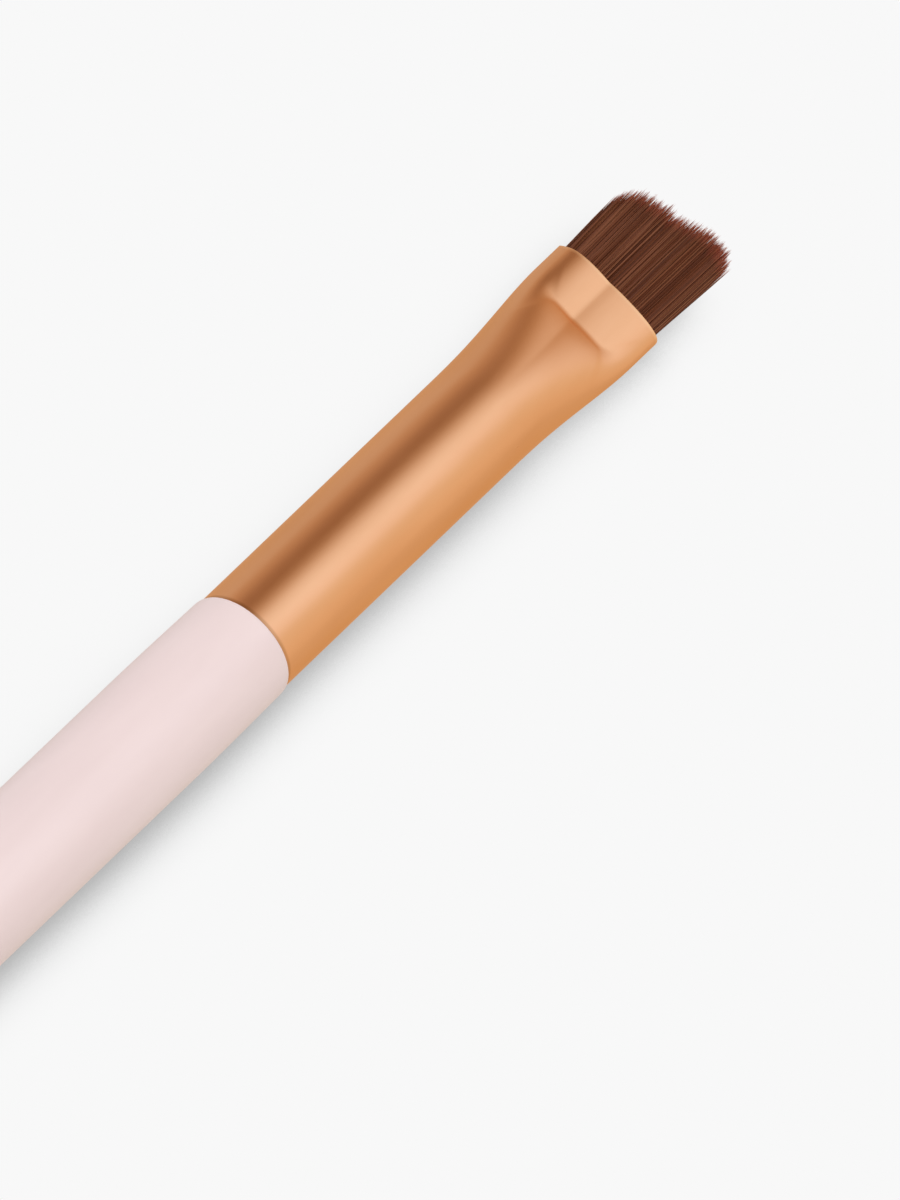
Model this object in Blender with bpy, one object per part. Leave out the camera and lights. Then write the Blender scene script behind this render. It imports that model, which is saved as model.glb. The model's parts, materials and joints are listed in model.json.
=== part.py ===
"""Double-ended brow brush: an angled flat tuft at one end and a twisted-wire spoolie at the other.

Units are metres. +X runs along the brush towards the angled tuft and +Z is up. The brush lies on its handle
on the plane Z = 0, with the origin below the middle of its length. Each piece of the real brush is one
object, and all of them hang from an empty on the brush's axis.
"""

import math
import random

import bmesh
import bpy

MM = 0.001

# Shared fits
SIDES = 24  # facets round every turned piece, with one facet facing straight down
FIT_GAP = 0.05 * MM  # between two pieces that touch
WELD_DISTANCE = 0.0005 * MM
SHARP_ANGLE = math.radians(30)  # shaded as an edge

# Handle, turned from wood
HANDLE_LENGTH = 82.0 * MM  # between the two ferrules
HANDLE_DIAMETER = 7.0 * MM
SHOULDER_DIAMETER = 6.8 * MM  # where it meets a ferrule
SHOULDER_ROUNDING = 0.12 * MM
ROUNDING_STEPS = 3  # of each rounded edge
SWELL_LENGTH = 8.5 * MM  # from the shoulder to the full diameter
TENON_LENGTH = 12.0 * MM  # inside each ferrule
TENON_CHAMFER = 0.5 * MM

# Ferrules, drawn from aluminium tube
FERRULE_DIAMETER = 6.5 * MM
FERRULE_WALL = 0.4 * MM
FERRULE_EDGE = 0.08 * MM  # chamfer on the edge that meets the handle
GLUE_THICKNESS = 0.1 * MM  # film between a tenon and its ferrule

# Brow end of the brush
BROW_FERRULE_LENGTH = 33.0 * MM
FLARE_LENGTH = 12.4 * MM  # from the last round section to the mouth
FLARE_STEPS = 7  # outside
BORE_FLARE_STEPS = 4
MOUTH_WIDTH = 7.6 * MM
MOUTH_HEIGHT = 3.0 * MM  # as flattened, before the pads are pressed
ROUND_SQUARENESS = 2.0  # exponent of a superellipse that is a plain ellipse
MOUTH_SQUARENESS = 2.2
PAD_LENGTH = 3.6 * MM
PAD_HEIGHT = 2.4 * MM  # from the upper pad to the lower one
CRIMP_BLEND = 1.7 * MM  # how far behind a pad the metal is drawn down
CRIMP_STEPS = 4
LIP_ROUNDING = 0.16 * MM
FLARE_DONE_SHARE = 0.82  # of the flare, where the mouth's width and height are reached
FLARE_LATENESS = 1.3  # exponent, over 1 where the tube flattens faster towards the mouth

# Angled tuft
TUFT_COLUMNS = 32
TUFT_ROWS = 7
TUFT_LONG = 7.8 * MM  # reach beyond the mouth on the -Y side
TUFT_SHORT = 5.4 * MM
TUFT_RECESS = 0.12 * MM  # of its bound root below the lip
TUFT_RAGGED = 0.45 * MM  # spread of the fibre lengths
TUFT_ROUNDING = 0.4 * MM  # how much shorter the outermost rows are
TUFT_WIDTH_SHARE = 0.98  # of the mouth's bore
TUFT_FLARE_SHARE = 0.1  # wider at the tips
TUFT_THINNING_SHARE = 0.55  # thinner at the tips
FIBRE_ROOT_SHARE = 0.88  # of its cell in the root
FIBRE_TIP_SHARE = 0.8
TUFT_SEED = 3

# Root of the tuft, inside the ferrule
ROOT_DIAMETER = 3.7 * MM  # where it is tied
ROOT_TIED_LENGTH = 3.2 * MM
ROOT_CHAMFER = 0.2 * MM
ROOT_STEPS = 4  # from its tie to the flat
THREAD_DIAMETER = 0.4 * MM
THREAD_TURNS = 3
PLUG_LENGTH = 2.2 * MM  # epoxy behind the root
PLUG_RIM_LENGTH = 1.0 * MM  # epoxy round the root's end

# Spoolie end of the brush
NECKING_LENGTH = 9.0 * MM  # where the tube narrows to its nose
NECKING_STEPS = 7
NOSE_DIAMETER = 3.2 * MM
NOSE_LENGTH = 1.2 * MM
TENON_STANDOFF = 1.8 * MM  # from the necking to the handle's tenon
HOLDER_LENGTH = 6.0 * MM  # moulded holder for the wire
HOLDER_RECESS = 0.3 * MM
POTTING_COVER = 1.4 * MM  # epoxy behind the ends of the wire

# Spoolie
WIRE_DIAMETER = 0.55 * MM
WIRE_PITCH = 3.0 * MM  # one full turn of the twisted pair
WIRE_NECK = 4.0 * MM  # bare, between the nose and the filaments
WIRE_TAIL = 1.2 * MM  # behind its holder
WIRE_POINTS_PER_TURN = 8
WIRE_BEND_STEPS = 4
WEB_THICKNESS = 0.12 * MM  # filaments pinched between the two wires
WEB_CLEARANCE = 0.06 * MM
SPOOLIE_LENGTH = 24.0 * MM  # brushing length
SPOOLIE_DIAMETER = 6.4 * MM
SPOOLIE_TIP_DIAMETER = 4.2 * MM
SPOOLIE_END_ROUNDING = 1.6 * MM
FILAMENTS_PER_TURN = 10  # on each side of the web
FILAMENT_TIP_SHARE = 0.6

# Radii and places worked out from them. X is counted from the middle of the brush's length.
HANDLE_RADIUS = HANDLE_DIAMETER / 2
SHOULDER_RADIUS = SHOULDER_DIAMETER / 2
FERRULE_RADIUS = FERRULE_DIAMETER / 2
FERRULE_BORE_RADIUS = FERRULE_RADIUS - FERRULE_WALL
TENON_RADIUS = FERRULE_BORE_RADIUS - GLUE_THICKNESS - 2 * FIT_GAP
WIRE_RADIUS = WIRE_DIAMETER / 2
WIRE_OFFSET = WIRE_RADIUS + WEB_THICKNESS / 2 + WEB_CLEARANCE  # from the axis to each wire's centre
STEM_RADIUS = WIRE_OFFSET + WIRE_RADIUS
WIRE_INSERT = HOLDER_RECESS + HOLDER_LENGTH + WIRE_TAIL  # inside the ferrule
SPOOLIE_FERRULE_LENGTH = NOSE_LENGTH + NECKING_LENGTH + TENON_STANDOFF + TENON_LENGTH
FACET_SHARE = math.cos(math.pi / SIDES)  # of a radius, to the middle of a facet
AXIS_HEIGHT = HANDLE_RADIUS * FACET_SHARE
BROW_REACH = FIT_GAP + BROW_FERRULE_LENGTH + TUFT_LONG
SPOOLIE_REACH = FIT_GAP + SPOOLIE_FERRULE_LENGTH + WIRE_NECK + SPOOLIE_LENGTH + STEM_RADIUS
OVERALL_LENGTH = HANDLE_LENGTH + BROW_REACH + SPOOLIE_REACH
BROW_SHOULDER_X = OVERALL_LENGTH / 2 - BROW_REACH
SPOOLIE_SHOULDER_X = SPOOLIE_REACH - OVERALL_LENGTH / 2
MOUTH_X = BROW_SHOULDER_X + FIT_GAP + BROW_FERRULE_LENGTH
NOSE_X = SPOOLIE_SHOULDER_X - FIT_GAP - SPOOLIE_FERRULE_LENGTH

# Colour, roughness and metallic value of each material
MATERIALS = {
    "pink_lacquer": ((0.87, 0.71, 0.70), 0.45, 0.0),
    "copper_anodised": ((0.78, 0.42, 0.21), 0.32, 1.0),
    "brown_fibre": ((0.10, 0.035, 0.02), 0.45, 0.0),
    "cast_epoxy": ((0.75, 0.62, 0.35), 0.2, 0.0),
    "cotton_thread": ((0.75, 0.70, 0.62), 0.9, 0.0),
    "holder_plastic": ((0.80, 0.78, 0.75), 0.4, 0.0),
    "steel_wire": ((0.62, 0.60, 0.58), 0.3, 1.0),
}


def smoothstep(share):
    """0 to 1 with level ends."""
    share = min(max(share, 0.0), 1.0)
    return share * share * (3 - 2 * share)


def mix(first, second, share):
    return first + (second - first) * share


def material(name):
    """The named Principled material, made once."""
    if name in bpy.data.materials:
        return bpy.data.materials[name]
    colour, roughness, metallic = MATERIALS[name]
    made = bpy.data.materials.new(name)
    made.use_nodes = True
    shader = made.node_tree.nodes["Principled BSDF"]
    shader.inputs["Base Color"].default_value = (*colour, 1.0)
    shader.inputs["Roughness"].default_value = roughness
    shader.inputs["Metallic"].default_value = metallic
    made.diffuse_color = (*colour, 1.0)
    return made


def add_piece(name, data, material_name, axis, x):
    """One piece of the brush, hung from the axis empty at the place x along it."""
    piece = bpy.data.objects.new(name, data)
    data.materials.append(material(material_name))
    bpy.context.scene.collection.objects.link(piece)
    piece.parent = axis
    piece.location = (x, 0, 0)
    return piece


def finish_mesh(name, bm):
    """A smooth-shaded mesh from bm, with its faces turned outwards."""
    bmesh.ops.recalc_face_normals(bm, faces=bm.faces)
    mesh = bpy.data.meshes.new(name)
    bm.to_mesh(mesh)
    bm.free()
    mesh.shade_smooth()
    mesh.set_sharp_from_angle(angle=SHARP_ANGLE)
    return mesh


def turned_mesh(name, profile, ring=False):
    """A profile of (x, radius) points spun about X. It starts and ends on the axis, or closes as a ring."""
    bm = bmesh.new()
    half_facet = math.pi / SIDES
    points = [bm.verts.new((x, r * math.cos(half_facet), r * math.sin(half_facet))) for x, r in profile]
    edges = [bm.edges.new(pair) for pair in zip(points, points[1:])]
    if ring:
        edges.append(bm.edges.new((points[-1], points[0])))
    bmesh.ops.spin(bm, geom=points + edges, axis=(1, 0, 0), angle=math.tau, steps=SIDES)
    bmesh.ops.remove_doubles(bm, verts=bm.verts, dist=WELD_DISTANCE)
    return finish_mesh(name, bm)


def lofted_mesh(name, loops, ring=False):
    """Loops of as many points each, joined in turn, with the two ends capped or joined to each other."""
    bm = bmesh.new()
    rows = [[bm.verts.new(point) for point in loop] for loop in loops]
    pairs = list(zip(rows, rows[1:]))
    if ring:
        pairs.append((rows[-1], rows[0]))
    else:
        bm.faces.new(rows[0])
        bm.faces.new(rows[-1])
    for near, far in pairs:
        for i in range(len(near)):
            bm.faces.new((near[i - 1], near[i], far[i], far[i - 1]))
    return finish_mesh(name, bm)


def quarter_turns():
    """Angles from 0 to a quarter turn, for a rounded edge."""
    return [math.pi / 2 * i / ROUNDING_STEPS for i in range(ROUNDING_STEPS + 1)]


def rounded_corner(x, radius, rounding, direction):
    """(x, radius) points round an outer edge, from the face at x to the side that runs in direction."""
    return [
        (x + direction * rounding * (1 - math.cos(turn)), radius - rounding * (1 - math.sin(turn)))
        for turn in quarter_turns()
    ]


# Handle
def handle_end(shoulder_x, outward):
    """Half of the handle's profile, from the end of its tenon to the full diameter. outward is +1 or -1."""
    tenon_end = shoulder_x + outward * TENON_LENGTH
    swell_shares = (0.35, 0.65, 1.0)
    profile = [
        (tenon_end, 0),
        (tenon_end, TENON_RADIUS - TENON_CHAMFER),
        (tenon_end - outward * TENON_CHAMFER, TENON_RADIUS),
        (shoulder_x, TENON_RADIUS),
    ]
    profile += rounded_corner(shoulder_x, SHOULDER_RADIUS, SHOULDER_ROUNDING, -outward)
    profile += [
        (
            shoulder_x - outward * mix(SHOULDER_ROUNDING, SWELL_LENGTH, share),
            mix(SHOULDER_RADIUS, HANDLE_RADIUS, math.sin(math.pi / 2 * share)),
        )
        for share in swell_shares
    ]
    return profile


def make_handle(axis):
    brow_half = handle_end(HANDLE_LENGTH / 2, 1)
    spoolie_half = handle_end(-HANDLE_LENGTH / 2, -1)
    mesh = turned_mesh("handle", spoolie_half + brow_half[::-1])
    middle = (BROW_SHOULDER_X + SPOOLIE_SHOULDER_X) / 2
    add_piece("handle", mesh, "pink_lacquer", axis, middle)


def make_tenon_glue(name, axis, shoulder_x, outward):
    """The film of adhesive that holds a ferrule on its tenon."""
    inner = TENON_RADIUS + FIT_GAP
    outer = inner + GLUE_THICKNESS
    start = outward * FIT_GAP
    end = outward * (TENON_LENGTH - TENON_CHAMFER)
    mesh = turned_mesh(name, [(start, inner), (end, inner), (end, outer), (start, outer)], ring=True)
    add_piece(name, mesh, "cast_epoxy", axis, shoulder_x)


# Brow ferrule
def flattening(back):
    """Half width, half height and squareness of the tube's outside, at a distance behind the mouth."""
    along = max(1 - back / FLARE_LENGTH, 0.0) / FLARE_DONE_SHARE
    share = smoothstep(along**FLARE_LATENESS)
    half_width = mix(FERRULE_RADIUS, MOUTH_WIDTH / 2, share)
    half_height = mix(FERRULE_RADIUS, MOUTH_HEIGHT / 2, share)
    return half_width, half_height, mix(ROUND_SQUARENESS, MOUTH_SQUARENESS, share)


def pressed_height(back):
    """Half the height that the pads' press leaves at a distance behind the mouth."""
    pad = PAD_HEIGHT / 2
    free = flattening(back)[1]
    share = min(max((back - PAD_LENGTH) / CRIMP_BLEND, 0.0), 1.0)
    return mix(min(pad, free), free, 1 - (1 - share) ** 2)


def tube_section(back, inset):
    """(y, z) points of the tube's section, the inset inside its outer surface."""
    half_width, half_height, squareness = flattening(back)
    limit = pressed_height(back) - inset
    points = []
    for i in range(SIDES):
        angle = math.tau * (i + 0.5) / SIDES
        y = math.copysign(abs(math.cos(angle)) ** (2 / squareness), math.cos(angle))
        z = math.copysign(abs(math.sin(angle)) ** (2 / squareness), math.sin(angle))
        z *= half_height - inset
        points.append((y * (half_width - inset), min(max(z, -limit), limit)))
    return points


def tube_loop(back, inset):
    """tube_section as points in the ferrule's own frame, whose origin is in the plane of its mouth."""
    return [(-back, y, z) for y, z in tube_section(back, inset)]


def flare_stations(steps):
    """Distances behind the mouth from the round tube to the back of the crimp."""
    crimp_back = PAD_LENGTH + CRIMP_BLEND
    return [mix(FLARE_LENGTH, crimp_back, i / steps) for i in range(steps + 1)]


def make_brow_ferrule(axis):
    crimp = [PAD_LENGTH + CRIMP_BLEND * (1 - i / CRIMP_STEPS) for i in range(1, CRIMP_STEPS + 1)]
    outside = [
        tube_loop(BROW_FERRULE_LENGTH, FERRULE_EDGE),
        tube_loop(BROW_FERRULE_LENGTH - FERRULE_EDGE, 0),
    ]
    outside += [tube_loop(back, 0) for back in flare_stations(FLARE_STEPS) + crimp]
    lip = [
        tube_loop(LIP_ROUNDING * (1 - math.sin(turn)), LIP_ROUNDING * (1 - math.cos(turn)))
        for turn in quarter_turns()
    ]
    inside = [tube_loop(0, FERRULE_WALL), tube_loop(PAD_LENGTH, FERRULE_WALL)]
    inside += [tube_loop(back, FERRULE_WALL) for back in flare_stations(BORE_FLARE_STEPS)[::-1]]
    inside += [tube_loop(BROW_FERRULE_LENGTH, FERRULE_WALL)]
    mesh = lofted_mesh("brow_ferrule", outside + lip + inside, ring=True)
    add_piece("brow_ferrule", mesh, "copper_anodised", axis, MOUTH_X)


# Angled tuft
def bore_half_height(y):
    """Half the height of the mouth's bore at y, less the fit gap."""
    half_width, half_height, squareness = flattening(0)
    inset = FERRULE_WALL + FIT_GAP
    share = min(abs(y) / (half_width - inset), 1.0)
    free = (half_height - inset) * (1 - share**squareness) ** (1 / squareness)
    return min(free, pressed_height(0) - inset)


def tuft_grid(bm):
    """The bound root's front face, as a grid with one cell for each fibre."""
    bore_half_width = flattening(0)[0] - FERRULE_WALL - FIT_GAP
    half_width = bore_half_width * TUFT_WIDTH_SHARE
    columns = []
    for i in range(TUFT_COLUMNS + 1):
        y = mix(-half_width, half_width, i / TUFT_COLUMNS)
        tall = bore_half_height(y)
        rows = [mix(-tall, tall, j / TUFT_ROWS) for j in range(TUFT_ROWS + 1)]
        columns.append([bm.verts.new((-TUFT_RECESS, y, z)) for z in rows])
    cells = []
    for near, far in zip(columns, columns[1:]):
        for j in range(TUFT_ROWS):
            cells.append(bm.faces.new((near[j], far[j], far[j + 1], near[j + 1])))
    return cells, half_width


def make_brow_tuft(axis):
    """Fibres standing on the slice of their bound root that fills the pads of the ferrule."""
    bm = bmesh.new()
    cells, half_width = tuft_grid(bm)
    block = bmesh.ops.extrude_face_region(bm, geom=cells, use_keep_orig=True)
    root_depth = PAD_LENGTH - TUFT_RECESS - FIT_GAP
    block_back = [part for part in block["geom"] if isinstance(part, bmesh.types.BMVert)]
    bmesh.ops.translate(bm, verts=block_back, vec=(-root_depth, 0, 0))
    bmesh.ops.inset_individual(bm, faces=cells)
    for cell in cells:
        middle = cell.calc_center_median()
        for corner in cell.verts:
            corner.co = middle.lerp(corner.co, FIBRE_ROOT_SHARE)
    fibres = bmesh.ops.extrude_discrete_faces(bm, faces=cells)["faces"]
    chance = random.Random(TUFT_SEED)
    cuts = [TUFT_RAGGED * chance.random() for _ in range(TUFT_COLUMNS)]
    for fibre in fibres:
        root = fibre.calc_center_median()
        across = (root.y / half_width + 1) / 2  # 0 on the long side, 1 on the short side
        outward = abs(root.z) / bore_half_height(root.y)
        reach = mix(TUFT_LONG, TUFT_SHORT, across) - cuts[int(across * TUFT_COLUMNS)]
        reach -= TUFT_ROUNDING * outward**2
        depth = (reach + TUFT_RECESS) / (TUFT_LONG + TUFT_RECESS)
        flare = 1 + TUFT_FLARE_SHARE * depth * abs(root.y) / half_width
        thinning = 1 - TUFT_THINNING_SHARE * depth
        for corner in fibre.verts:
            tip = root.lerp(corner.co, FIBRE_TIP_SHARE)
            corner.co = (reach, tip.y * flare, tip.z * thinning)
    # Facing sides of two fibres bend alike when both are split along their shorter diagonal.
    bmesh.ops.triangulate(bm, faces=bm.faces, quad_method="SHORT_EDGE")
    add_piece("brow_tuft", finish_mesh("brow_tuft", bm), "brown_fibre", axis, MOUTH_X)


# Root of the tuft
def root_back():
    """Distance behind the mouth of the root bundle's tied end."""
    plug_start = BROW_FERRULE_LENGTH - TENON_LENGTH
    return plug_start - PLUG_LENGTH


def make_brow_root(axis):
    """The fibres' inner ends: tied round at the back, spread flat where they meet the tuft."""
    back = root_back()
    tied_end = back - ROOT_TIED_LENGTH
    radius = ROOT_DIAMETER / 2
    inset = FERRULE_WALL + FIT_GAP
    flat = tube_section(PAD_LENGTH, inset)
    angles = [math.tau * (i + 0.5) / SIDES for i in range(SIDES)]
    round_end = [(radius * math.cos(angle), radius * math.sin(angle)) for angle in angles]
    small_share = 1 - ROOT_CHAMFER / radius
    loops = [
        [(-back, y * small_share, z * small_share) for y, z in round_end],
        [(ROOT_CHAMFER - back, y, z) for y, z in round_end],
    ]
    for step in range(ROOT_STEPS + 1):
        share = step / ROOT_STEPS
        blend = smoothstep(share)
        x = mix(-tied_end, -PAD_LENGTH, share)
        pairs = zip(round_end, flat)
        loops.append([(x, mix(a[0], b[0], blend), mix(a[1], b[1], blend)) for a, b in pairs])
    add_piece("brow_root_bundle", lofted_mesh("brow_root_bundle", loops), "brown_fibre", axis, MOUTH_X)


def make_root_tie(axis):
    """The binding thread: turns laid side by side, taken as one ribbed band."""
    inner = ROOT_DIAMETER / 2 + FIT_GAP
    thread_radius = THREAD_DIAMETER / 2
    band = THREAD_DIAMETER * THREAD_TURNS
    start = PLUG_RIM_LENGTH + FIT_GAP
    profile = [(start + band, inner), (start, inner)]
    for turn in range(THREAD_TURNS):
        middle = start + THREAD_DIAMETER * turn + thread_radius
        profile += [(middle - thread_radius / 2, inner + THREAD_DIAMETER)]
        profile += [(middle + thread_radius / 2, inner + THREAD_DIAMETER)]
        profile += [(middle + thread_radius, inner + thread_radius)]
    mesh = turned_mesh("brow_root_tie", profile, ring=True)
    add_piece("brow_root_tie", mesh, "cotton_thread", axis, MOUTH_X - root_back())


def make_epoxy_plug(axis):
    """The cast plug that locks the tuft in: a disc against the tenon with a rim round the root's end."""
    outer = FERRULE_BORE_RADIUS - FIT_GAP
    rim_inner = ROOT_DIAMETER / 2 + FIT_GAP
    disc_front = -FIT_GAP
    disc_back = FIT_GAP - PLUG_LENGTH
    profile = [
        (disc_back, 0),
        (disc_back, outer),
        (PLUG_RIM_LENGTH, outer),
        (PLUG_RIM_LENGTH, rim_inner),
        (disc_front, rim_inner),
        (disc_front, 0),
    ]
    mesh = turned_mesh("brow_epoxy_plug", profile)
    add_piece("brow_epoxy_plug", mesh, "cast_epoxy", axis, MOUTH_X - root_back())


# Spoolie ferrule and what it holds, each drawn from the nose at x = 0 back towards the handle at +X
def necked_radius(x):
    """Outer radius of the spoolie ferrule at a distance x behind its nose."""
    share = smoothstep((x - NOSE_LENGTH) / NECKING_LENGTH)
    return mix(NOSE_DIAMETER / 2, FERRULE_RADIUS, share)


def necking_stations():
    """Distances behind the nose from the back of its straight part to the full tube."""
    return [NOSE_LENGTH + NECKING_LENGTH * i / NECKING_STEPS for i in range(NECKING_STEPS + 1)]


def make_spoolie_ferrule(axis):
    end = SPOOLIE_FERRULE_LENGTH
    profile = [(end, FERRULE_BORE_RADIUS), (end, FERRULE_RADIUS - FERRULE_EDGE)]
    profile += [(end - FERRULE_EDGE, FERRULE_RADIUS)]
    profile += [(x, necked_radius(x)) for x in necking_stations()[::-1]]
    profile += rounded_corner(0, NOSE_DIAMETER / 2, LIP_ROUNDING, 1)[::-1]
    profile += [(0, NOSE_DIAMETER / 2 - FERRULE_WALL)]
    profile += [(x, necked_radius(x) - FERRULE_WALL) for x in necking_stations()]
    mesh = turned_mesh("spoolie_ferrule", profile, ring=True)
    add_piece("spoolie_ferrule", mesh, "copper_anodised", axis, NOSE_X)


def make_wire_holder(axis):
    """The moulded bush that centres the twisted wire in the ferrule's nose."""
    end = HOLDER_RECESS + HOLDER_LENGTH
    bore = STEM_RADIUS + FIT_GAP
    inset = FERRULE_WALL + FIT_GAP
    outside = [HOLDER_RECESS] + [x for x in necking_stations() if x < end] + [end]
    profile = [(x, necked_radius(x) - inset) for x in outside]
    profile += [(end, bore), (HOLDER_RECESS, bore)]
    mesh = turned_mesh("spoolie_wire_holder", profile, ring=True)
    add_piece("spoolie_wire_holder", mesh, "holder_plastic", axis, NOSE_X)


def make_potting(axis):
    """Epoxy poured on the holder's back, over the tails of the wire."""
    start = HOLDER_RECESS + HOLDER_LENGTH + FIT_GAP
    end = WIRE_INSERT + POTTING_COVER
    bore = STEM_RADIUS + FIT_GAP
    bore_end = WIRE_INSERT + FIT_GAP
    stations = [end] + [x for x in necking_stations()[::-1] if start < x < end] + [start]
    inset = FERRULE_WALL + FIT_GAP
    profile = [(end, 0)] + [(x, necked_radius(x) - inset) for x in stations]
    profile += [(start, bore), (bore_end, bore), (bore_end, 0)]
    mesh = turned_mesh("spoolie_epoxy_plug", profile)
    add_piece("spoolie_epoxy_plug", mesh, "cast_epoxy", axis, NOSE_X)


# Spoolie, drawn from the start of its filaments at x = 0 towards its tip at -X
def twist(x):
    """Angle of the web between the wires at x."""
    return math.tau * x / WIRE_PITCH


def wire_point(x, side):
    angle = twist(x) + math.pi / 2 * side
    return (x, WIRE_OFFSET * math.cos(angle), WIRE_OFFSET * math.sin(angle))


def wire_path():
    """One wire: out along the first leg, round the bend at the tip and back along the second leg."""
    start = WIRE_NECK + WIRE_INSERT
    length = start + SPOOLIE_LENGTH
    steps = round(length / WIRE_PITCH * WIRE_POINTS_PER_TURN)
    stations = [start - length * i / steps for i in range(steps + 1)]
    out = [wire_point(x, 1) for x in stations]
    back = [wire_point(x, -1) for x in stations[::-1]]
    bend = []
    tip = out[-1]
    for i in range(1, WIRE_BEND_STEPS):
        turn = math.pi * i / WIRE_BEND_STEPS
        across = math.cos(turn)
        bend.append((tip[0] - WIRE_OFFSET * math.sin(turn), tip[1] * across, tip[2] * across))
    return out + bend + back


def make_wire(axis):
    points = wire_path()
    curve = bpy.data.curves.new("spoolie_wire", "CURVE")
    curve.dimensions = "3D"
    curve.bevel_depth = WIRE_RADIUS
    curve.bevel_resolution = 1
    curve.use_fill_caps = True
    spline = curve.splines.new("POLY")
    spline.points.add(len(points) - 1)
    for target, point in zip(spline.points, points):
        target.co = (*point, 1.0)
    add_piece("spoolie_wire", curve, "steel_wire", axis, NOSE_X - WIRE_NECK)


def spoolie_radius(along):
    """Radius of the filament tips at a distance along from the start of the filaments."""
    radius = mix(SPOOLIE_DIAMETER, SPOOLIE_TIP_DIAMETER, along / SPOOLIE_LENGTH) / 2
    from_end = min(along, SPOOLIE_LENGTH - along)
    short = max(1 - from_end / SPOOLIE_END_ROUNDING, 0.0)
    return radius - (radius - STEM_RADIUS) / 2 * short**2


def make_filaments(axis):
    """The helical web of pinched filaments, with one from every second cell along each of its edges."""
    bm = bmesh.new()
    cells = round(SPOOLIE_LENGTH / WIRE_PITCH * FILAMENTS_PER_TURN) * 2
    rings = []
    for i in range(cells + 1):
        x = -SPOOLIE_LENGTH * i / cells
        along = (math.cos(twist(x)), math.sin(twist(x)))
        corners = []
        for reach, lift in ((1, 1), (-1, 1), (-1, -1), (1, -1)):
            far = reach * WIRE_RADIUS
            up = lift * WEB_THICKNESS / 2
            y = far * along[0] - up * along[1]
            z = far * along[1] + up * along[0]
            corners.append(bm.verts.new((x, y, z)))
        rings.append(corners)
    bm.faces.new(rings[0])
    bm.faces.new(rings[-1])
    stubs = []
    for i, (near, far) in enumerate(zip(rings, rings[1:])):
        faces = [bm.faces.new((near[j - 1], near[j], far[j], far[j - 1])) for j in range(4)]
        if i % 2 == 0:
            stubs += [faces[0], faces[2]]
    for filament in bmesh.ops.extrude_discrete_faces(bm, faces=stubs)["faces"]:
        root = filament.calc_center_median()
        grow = spoolie_radius(-root.x) / math.hypot(root.y, root.z)
        for corner in filament.verts:
            offset = (corner.co - root) * FILAMENT_TIP_SHARE
            corner.co = (root.x + offset.x, root.y * grow + offset.y, root.z * grow + offset.z)
    mesh = finish_mesh("spoolie_filaments", bm)
    add_piece("spoolie_filaments", mesh, "brown_fibre", axis, NOSE_X - WIRE_NECK)


def main():
    for old in list(bpy.data.objects):
        bpy.data.objects.remove(old)
    axis = bpy.data.objects.new("brush_axis", None)
    bpy.context.scene.collection.objects.link(axis)
    axis.location = (0, 0, AXIS_HEIGHT)

    make_handle(axis)
    make_tenon_glue("brow_tenon_glue", axis, BROW_SHOULDER_X, 1)
    make_tenon_glue("spoolie_tenon_glue", axis, SPOOLIE_SHOULDER_X, -1)

    make_brow_ferrule(axis)
    make_brow_tuft(axis)
    make_brow_root(axis)
    make_root_tie(axis)
    make_epoxy_plug(axis)

    make_spoolie_ferrule(axis)
    make_wire_holder(axis)
    make_potting(axis)
    make_wire(axis)
    make_filaments(axis)


main()
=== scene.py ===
"""Visual model of the double-ended brow brush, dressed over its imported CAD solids.

Units are metres in the frame of the solids: +X runs along the brush towards the angled tuft and +Z is up.
The shapes repeat the solids' own dimensions with finer surfaces, and the fibres are single tapered hairs.
"""

import json
import math
import random

import bpy
from mathutils import Matrix, Vector


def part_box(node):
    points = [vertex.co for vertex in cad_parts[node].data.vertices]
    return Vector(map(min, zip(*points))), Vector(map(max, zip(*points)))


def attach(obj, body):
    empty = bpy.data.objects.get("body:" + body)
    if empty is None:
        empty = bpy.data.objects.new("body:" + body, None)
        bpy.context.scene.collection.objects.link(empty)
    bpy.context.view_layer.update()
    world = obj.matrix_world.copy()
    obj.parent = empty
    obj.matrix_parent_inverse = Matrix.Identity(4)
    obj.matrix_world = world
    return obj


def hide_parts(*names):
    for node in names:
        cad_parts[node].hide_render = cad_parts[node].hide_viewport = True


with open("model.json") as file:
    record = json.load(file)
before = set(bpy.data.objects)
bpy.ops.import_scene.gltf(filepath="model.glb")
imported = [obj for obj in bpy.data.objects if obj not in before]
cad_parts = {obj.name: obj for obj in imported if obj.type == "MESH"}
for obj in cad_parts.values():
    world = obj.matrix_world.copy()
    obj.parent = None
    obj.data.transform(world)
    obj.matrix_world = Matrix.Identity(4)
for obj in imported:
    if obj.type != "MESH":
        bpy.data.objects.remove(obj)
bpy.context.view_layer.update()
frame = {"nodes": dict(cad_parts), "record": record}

MM = 0.001
SHARP_ANGLE = math.radians(35)

# Handle, as in the solids
SOLID_SIDES = 24
HANDLE_LENGTH = 82.0 * MM
HANDLE_DIAMETER = 7.0 * MM
SHOULDER_DIAMETER = 6.8 * MM
SWELL_LENGTH = 8.5 * MM
TENON_LENGTH = 12.0 * MM
TENON_RADIUS = 2.65 * MM
TENON_CHAMFER = 0.5 * MM
SHOULDER_DROP = 0.09 * MM  # of the lacquer's rounded edge
SHOULDER_EASE = 0.3 * MM  # length of that rounding along the brush

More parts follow.
